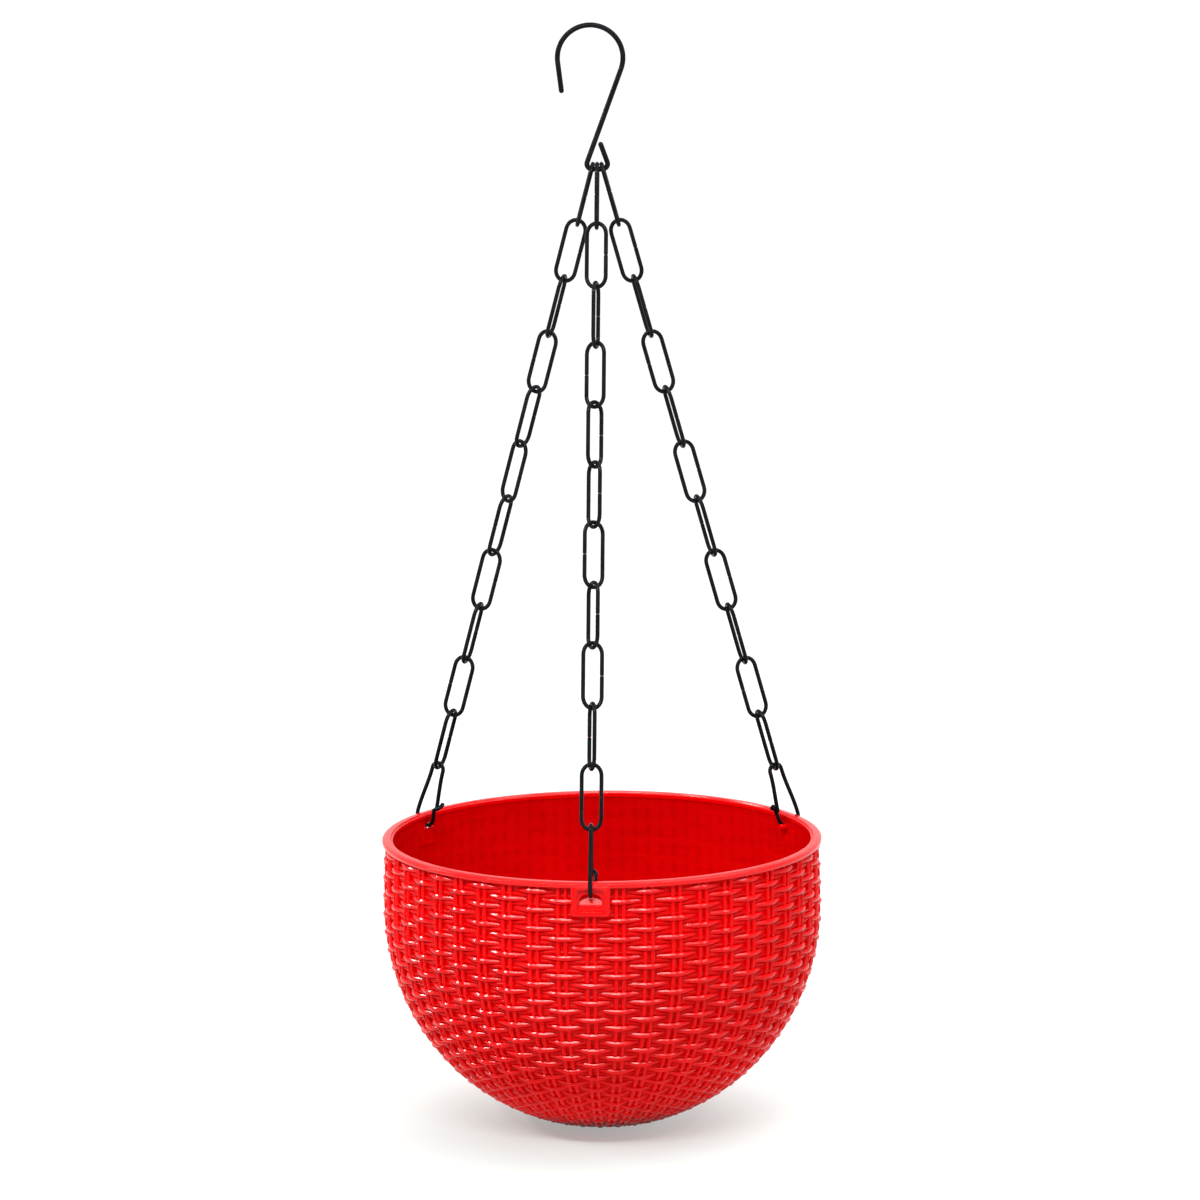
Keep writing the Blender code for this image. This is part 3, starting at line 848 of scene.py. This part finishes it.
def cut_round_bosses(bm):
    # The rods end inside the sides of each boss
    side = (RECESS_WIDTH + BOSS_WIDTH) / 4
    for number in range(len(CHAINS)):
        way = outward(number)
        across = Vector((-way.y, way.x, 0))
        for sign in (1, -1):
            near = [f for f in bm.faces if f.calc_center_median().dot(way) > WALL_RADIUS / 2]
            geom = each_once(part for f in near for part in (*f.edges, *f.verts))
            bmesh.ops.bisect_plane(
                bm,
                geom=near + geom,
                dist=CUT_DISTANCE,
                plane_co=across * (sign * side),
                plane_no=across * sign,
            )
        gone = []
        for face in bm.faces:
            middle = face.calc_center_median()
            if middle.dot(way) > WALL_RADIUS / 2 and abs(middle.dot(across)) < side:
                gone.append(face)
        bmesh.ops.delete(bm, geom=gone, context="FACES")
    bmesh.ops.holes_fill(bm, edges=[e for e in bm.edges if e.is_boundary], sides=0)


def rib_path(first_row, pair, side):
    # One rib of a pair, from half a row above this row down to the foot. It stands out where it
    # passes over a rod and dips where a rod passes over it.
    path = []
    half_rows = 2 * first_row - 1
    lowest = RIB_RADIUS + LEAST_CLEARANCE - BOWL_DEPTH
    while True:
        base, facing = on_wall(FIRST_ROW + ROW_PITCH * half_rows / 2)
        if base.x < FOOT_RADIUS + WEAVE_END:
            return path
        spread = side * RIB_SPACING / 2 * (base.x / WALL_RADIUS) ** RIB_TAPER
        lift = RIB_LIFT - RIB_WAVE * math.cos(math.pi * (half_rows / 2 + pair))
        place = base + facing * lift
        path.append(Vector((place.x, spread, max(place.y, lowest))))
        half_rows += 1


def make_ribs(material):
    bm = bmesh.new()
    for side in (1, -1):
        for pair in range(PAIRS):
            under_boss = pair % (PAIRS // len(CHAINS)) == 0
            one = bmesh.new()
            path = rib_path(ROWS_BESIDE_BOSS if under_boss else 0, pair, side)
            sweep(one, path, RIB_RADIUS, RIB_SIDES, ((0, 1),))
            angle = WINDOW_AZIMUTH - math.pi / 2 + 2 * math.pi * pair / PAIRS
            turn = Matrix.Rotation(angle, 3, "Z")
            bmesh.ops.rotate(one, cent=(0, 0, 0), matrix=turn, verts=one.verts[:])
            join(bm, one)
    bmesh.ops.translate(bm, vec=(0, 0, RIM_TOP), verts=bm.verts[:])
    finish_bowl_piece(new_piece("woven_stakes", bm, material, WOVEN_SHARP_ANGLE))


# Materials

RED = ((0.81, 0.0004, 0.0015), (0.73, 0.0003, 0.001))
# Painted shade: a darker red for the wall, inside the bowl and in the gaps between the rods
PAINTED_SHADE_RED = ((0.66, 0.0003, 0.001), (0.60, 0.0003, 0.001))
# The red that the painted weave shade darkens the wall towards
SHADED_RED = (0.3, 0, 0)
BLACK = ((0.004, 0.0045, 0.006), (0.009, 0.010, 0.013))
SATIN = {
    "Patch Scale": 22.0,
    "Grain Scale": 1400.0,
    "Low Roughness": 0.19,
    "High Roughness": 0.27,
}
GLOSS = {**SATIN, "Low Roughness": 0.10, "High Roughness": 0.17}
COATING = {
    "Patch Scale": 160.0,
    "Grain Scale": 2600.0,
    "Low Roughness": 0.12,
    "High Roughness": 0.24,
}
SMOOTH_BUMP = (0.12, 0.05 * MM)
WOVEN_BUMP = (0.1, 0.04 * MM)
WIRE_BUMP = (0.15, 0.04 * MM)
# How far the painted weave shade darkens the wall
WALL_SHADE = 0.3
TONE_STRETCH = 7


def socket(group, name, kind, way, value=None):
    made = group.interface.new_socket(name, in_out=way, socket_type=kind)
    if value is not None:
        made.default_value = value


def moulded_skin_group():
    # Slow drifts of tone and gloss and a fine orange-peel ripple, as moulded plastic has
    group = bpy.data.node_groups.new("moulded_skin", "ShaderNodeTree")
    socket(group, "Colour", "NodeSocketColor", "INPUT", (0.8, 0.8, 0.8, 1))
    socket(group, "Deep Colour", "NodeSocketColor", "INPUT", (0.7, 0.7, 0.7, 1))
    socket(group, "Patch Scale", "NodeSocketFloat", "INPUT", 25.0)
    socket(group, "Grain Scale", "NodeSocketFloat", "INPUT", 900.0)
    socket(group, "Low Roughness", "NodeSocketFloat", "INPUT", 0.2)
    socket(group, "High Roughness", "NodeSocketFloat", "INPUT", 0.3)
    socket(group, "Colour", "NodeSocketColor", "OUTPUT")
    socket(group, "Roughness", "NodeSocketFloat", "OUTPUT")
    socket(group, "Height", "NodeSocketFloat", "OUTPUT")
    nodes, links = group.nodes, group.links
    given = nodes.new("NodeGroupInput")
    out = nodes.new("NodeGroupOutput")
    coords = nodes.new("ShaderNodeTexCoord")
    patches = nodes.new("ShaderNodeTexNoise")
    patches.inputs["Detail"].default_value = 4.0
    grain = nodes.new("ShaderNodeTexNoise")
    grain.inputs["Detail"].default_value = 3.0
    links.new(coords.outputs["Object"], patches.inputs["Vector"])
    links.new(coords.outputs["Object"], grain.inputs["Vector"])
    links.new(given.outputs["Patch Scale"], patches.inputs["Scale"])
    links.new(given.outputs["Grain Scale"], grain.inputs["Scale"])
    spread = nodes.new("ShaderNodeMapRange")
    spread.inputs["From Min"].default_value = 0.35
    spread.inputs["From Max"].default_value = 0.65
    links.new(patches.outputs["Fac"], spread.inputs["Value"])
    tone = nodes.new("ShaderNodeMix")
    tone.data_type = "RGBA"
    links.new(spread.outputs["Result"], tone.inputs["Factor"])
    links.new(given.outputs["Colour"], tone.inputs["A"])
    links.new(given.outputs["Deep Colour"], tone.inputs["B"])
    gloss = nodes.new("ShaderNodeMapRange")
    links.new(grain.outputs["Fac"], gloss.inputs["Value"])
    links.new(given.outputs["Low Roughness"], gloss.inputs["To Min"])
    links.new(given.outputs["High Roughness"], gloss.inputs["To Max"])
    links.new(tone.outputs["Result"], out.inputs["Colour"])
    links.new(gloss.outputs["Result"], out.inputs["Roughness"])
    links.new(grain.outputs["Fac"], out.inputs["Height"])
    return group


def painted_weave_shade_group():
    # Painted shade for the relief outside seen through the wall: darker bands down the bowl
    # crossed by rows, broken up by a random drift
    group = bpy.data.node_groups.new("painted_weave_shade", "ShaderNodeTree")
    socket(group, "Colour", "NodeSocketColor", "INPUT", (0.8, 0.8, 0.8, 1))
    socket(group, "Shade", "NodeSocketFloat", "INPUT", 0.12)
    socket(group, "Bands", "NodeSocketFloat", "INPUT", 48.0)
    socket(group, "Row Pitch", "NodeSocketFloat", "INPUT", 0.01)
    socket(group, "Colour", "NodeSocketColor", "OUTPUT")
    nodes, links = group.nodes, group.links
    given = nodes.new("NodeGroupInput")
    out = nodes.new("NodeGroupOutput")
    coords = nodes.new("ShaderNodeTexCoord")
    split = nodes.new("ShaderNodeSeparateXYZ")
    links.new(coords.outputs["Object"], split.inputs["Vector"])

    def maths(operation, *values):
        node = nodes.new("ShaderNodeMath")
        node.operation = operation
        for place, value in enumerate(values):
            if isinstance(value, bpy.types.NodeSocket):
                links.new(value, node.inputs[place])
            else:
                node.inputs[place].default_value = value
        return node.outputs["Value"]

    angle = maths("ARCTAN2", split.outputs["Y"], split.outputs["X"])
    round_bowl = maths("MULTIPLY", maths("MULTIPLY", angle, 0.5), given.outputs["Bands"])
    turns_down = maths("MULTIPLY", split.outputs["Z"], math.pi)
    down = maths("DIVIDE", turns_down, given.outputs["Row Pitch"])
    flatten = nodes.new("ShaderNodeMapping")
    flatten.inputs["Scale"].default_value = (1, 1, TONE_STRETCH)
    drift = nodes.new("ShaderNodeTexNoise")
    drift.inputs["Scale"].default_value = 70.0
    drift.inputs["Detail"].default_value = 3.0
    links.new(coords.outputs["Object"], flatten.inputs["Vector"])
    links.new(flatten.outputs["Vector"], drift.inputs["Vector"])
    stakes = maths("POWER", maths("ABSOLUTE", maths("SINE", round_bowl)), 4.0)
    rows = maths("ADD", maths("MULTIPLY", maths("SINE", down), 0.4), 0.6)
    weave = maths("MULTIPLY", stakes, rows)
    mixed = maths("ADD", maths("MULTIPLY", weave, 0.35), drift.outputs["Fac"])
    soft = nodes.new("ShaderNodeMapRange")
    soft.interpolation_type = "SMOOTHSTEP"
    soft.inputs["From Min"].default_value = 0.35
    soft.inputs["From Max"].default_value = 0.95
    links.new(mixed, soft.inputs["Value"])
    # Painted shade: the wall darkens towards SHADED_RED by this much
    shade = maths("MULTIPLY", soft.outputs["Result"], given.outputs["Shade"])
    tone = nodes.new("ShaderNodeMix")
    tone.data_type = "RGBA"
    tone.inputs["B"].default_value = (*SHADED_RED, 1)
    links.new(shade, tone.inputs["Factor"])
    links.new(given.outputs["Colour"], tone.inputs["A"])
    links.new(tone.outputs["Result"], out.inputs["Colour"])
    return group


def paint_weave_shade(material, group, shade):
    # Puts the painted weave shade between the skin's colour and the shader, two bands to a pair
    nodes, links = material.node_tree.nodes, material.node_tree.links
    shader = nodes["Principled BSDF"]
    before = shader.inputs["Base Color"].links[0].from_socket
    tone = nodes.new("ShaderNodeGroup")
    tone.node_tree = group
    tone.inputs["Shade"].default_value = shade
    tone.inputs["Bands"].default_value = 2.0 * PAIRS
    tone.inputs["Row Pitch"].default_value = ROW_PITCH
    links.new(before, tone.inputs["Colour"])
    links.new(tone.outputs["Colour"], shader.inputs["Base Color"])


def plastic_finish(name, group, tones, values, specular, bump):
    # The two tones drift into each other; bump is its strength and its height
    material = bpy.data.materials.new(name)
    material.use_nodes = True
    nodes, links = material.node_tree.nodes, material.node_tree.links
    shader = nodes["Principled BSDF"]
    skin = nodes.new("ShaderNodeGroup")
    skin.node_tree = group
    skin.inputs["Colour"].default_value = (*tones[0], 1)
    skin.inputs["Deep Colour"].default_value = (*tones[1], 1)
    for key, value in values.items():
        skin.inputs[key].default_value = value
    ripple = nodes.new("ShaderNodeBump")
    ripple.inputs["Strength"].default_value = bump[0]
    ripple.inputs["Distance"].default_value = bump[1]
    links.new(skin.outputs["Height"], ripple.inputs["Height"])
    links.new(skin.outputs["Colour"], shader.inputs["Base Color"])
    links.new(skin.outputs["Roughness"], shader.inputs["Roughness"])
    links.new(ripple.outputs["Normal"], shader.inputs["Normal"])
    shader.inputs["Specular IOR Level"].default_value = specular
    return material


def make_materials():
    skin = moulded_skin_group()
    made = {
        "rim": plastic_finish("red_rim_plastic", skin, RED, SATIN, 0.25, SMOOTH_BUMP),
        # The wall's darker red is painted shade
        "wall": plastic_finish("red_wall_painted_shade", skin, PAINTED_SHADE_RED, SATIN, 0.06, SMOOTH_BUMP),
        "pads": plastic_finish("red_boss_plastic", skin, RED, GLOSS, 0.12, SMOOTH_BUMP),
        "rods": plastic_finish("red_woven_plastic", skin, RED, GLOSS, 0.13, WOVEN_BUMP),
        "stakes": plastic_finish("red_stake_plastic", skin, RED, GLOSS, 0.08, WOVEN_BUMP),
        "wire": plastic_finish("black_coated_wire", skin, BLACK, COATING, 0.05, WIRE_BUMP),
    }
    paint_weave_shade(made["wall"], painted_weave_shade_group(), WALL_SHADE)
    return made


# Stage


def seen_directly(nodes, links):
    # One where the camera, or glossy and clear surfaces, look at it
    path = nodes.new("ShaderNodeLightPath")
    first = nodes.new("ShaderNodeMath")
    first.operation = "MAXIMUM"
    second = nodes.new("ShaderNodeMath")
    second.operation = "MAXIMUM"
    links.new(path.outputs["Is Camera Ray"], first.inputs[0])
    links.new(path.outputs["Is Glossy Ray"], first.inputs[1])
    links.new(first.outputs["Value"], second.inputs[0])
    links.new(path.outputs["Is Transmission Ray"], second.inputs[1])
    return second.outputs["Value"]


def make_world():
    world = bpy.data.worlds.new("studio")
    bpy.context.scene.world = world
    world.use_nodes = True
    nodes, links = world.node_tree.nodes, world.node_tree.links
    back = nodes["Background"]
    back.inputs["Color"].default_value = (1, 1, 1, 1)
    level = nodes.new("ShaderNodeMapRange")
    level.inputs["To Min"].default_value = WORLD_LIGHT
    level.inputs["To Max"].default_value = 1.0
    links.new(seen_directly(nodes, links), level.inputs["Value"])
    links.new(level.outputs["Result"], back.inputs["Strength"])


def floor_material():
    # Pale and matt, with a painted contact shadow under the bowl where less glow is added, running
    # out to plain white all round it
    material = bpy.data.materials.new("pale_floor")
    material.use_nodes = True
    nodes, links = material.node_tree.nodes, material.node_tree.links
    shader = nodes["Principled BSDF"]
    # For the camera a darker, slightly blue-green base, so that the red bounce light doesn't tint
    # the painted shadow
    tint = nodes.new("ShaderNodeMix")
    tint.data_type = "RGBA"
    tint.inputs["A"].default_value = (0.75, 0.75, 0.75, 1)
    tint.inputs["B"].default_value = (0.28, 0.33, 0.32, 1)
    shader.inputs["Roughness"].default_value = 0.8
    shader.inputs["Specular IOR Level"].default_value = 0.1
    shader.inputs["Emission Color"].default_value = (1, 0.985, 0.965, 1)
    coords = nodes.new("ShaderNodeTexCoord")
    flat = nodes.new("ShaderNodeMapping")
    middle = Vector((*SHADE_MIDDLE, cad_box[0].z))
    flat.inputs["Location"].default_value = -middle
    reach = nodes.new("ShaderNodeVectorMath")
    reach.operation = "LENGTH"
    # Painted shadow: the glow is least under the bowl and rises to white at SHADE_REACH
    spread = nodes.new("ShaderNodeMapRange")
    spread.interpolation_type = "SMOOTHSTEP"
    spread.inputs["From Min"].default_value = 0.0
    spread.inputs["From Max"].default_value = SHADE_REACH
    spread.inputs["To Min"].default_value = SHADE_LEVEL
    spread.inputs["To Max"].default_value = 1.0
    links.new(coords.outputs["Object"], flat.inputs["Vector"])
    links.new(flat.outputs["Vector"], reach.inputs[0])
    links.new(reach.outputs["Value"], spread.inputs["Value"])
    seen = seen_directly(nodes, links)
    links.new(seen, tint.inputs["Factor"])
    links.new(tint.outputs["Result"], shader.inputs["Base Color"])
    lift = nodes.new("ShaderNodeMath")
    lift.operation = "MULTIPLY"
    links.new(seen, lift.inputs[0])
    links.new(spread.outputs["Result"], lift.inputs[1])
    links.new(lift.outputs["Value"], shader.inputs["Emission Strength"])
    return material


def make_floor():
    material = floor_material()
    bm = bmesh.new()
    bmesh.ops.create_circle(bm, cap_ends=True, segments=FLOOR_SIDES, radius=FLOOR_RADIUS)
    bmesh.ops.translate(bm, vec=(0, 0, cad_box[0].z), verts=bm.verts[:])
    new_piece("pale_floor", bm, material)


def add_lamp(name, size, energy, colour, place):
    light = bpy.data.lights.new(name, "AREA")
    light.shape = "RECTANGLE"
    light.size, light.size_y = size
    light.energy = energy
    light.color = colour
    lamp = bpy.data.objects.new(name, light)
    bpy.context.scene.collection.objects.link(lamp)
    lamp.location = place
    lamp.rotation_mode = "QUATERNION"
    lamp.rotation_quaternion = (Vector(LAMP_AIM) - Vector(place)).to_track_quat("-Z", "Y")


def make_camera():
    data = bpy.data.cameras.new("camera")
    data.sensor_width = 36
    data.lens = CAMERA_LENS
    data.clip_start, data.clip_end = 0.05, 60
    camera = bpy.data.objects.new("camera", data)
    bpy.context.scene.collection.objects.link(camera)
    camera.location = CAMERA_PLACE
    camera.rotation_mode = "QUATERNION"
    tilt = Matrix.Rotation(CAMERA_TILT, 4, "X")
    roll = Matrix.Rotation(CAMERA_ROLL, 4, "Z")
    camera.rotation_quaternion = (tilt @ roll).to_quaternion()
    bpy.context.scene.camera = camera


def make_stage():
    bpy.context.scene.view_settings.view_transform = "Standard"
    make_world()
    make_floor()
    for lamp in LAMPS:
        add_lamp(*lamp)
    make_camera()


def main():
    materials = make_materials()
    make_hook(materials["wire"])
    for number, (name, (side, turns)) in enumerate(CHAINS.items()):
        make_chain(number, name, side, turns, materials["wire"])
    make_shell(materials["rim"], materials["wall"], materials["pads"])
    make_rods(materials["rods"])
    make_ribs(materials["stakes"])
    make_stage()


main()
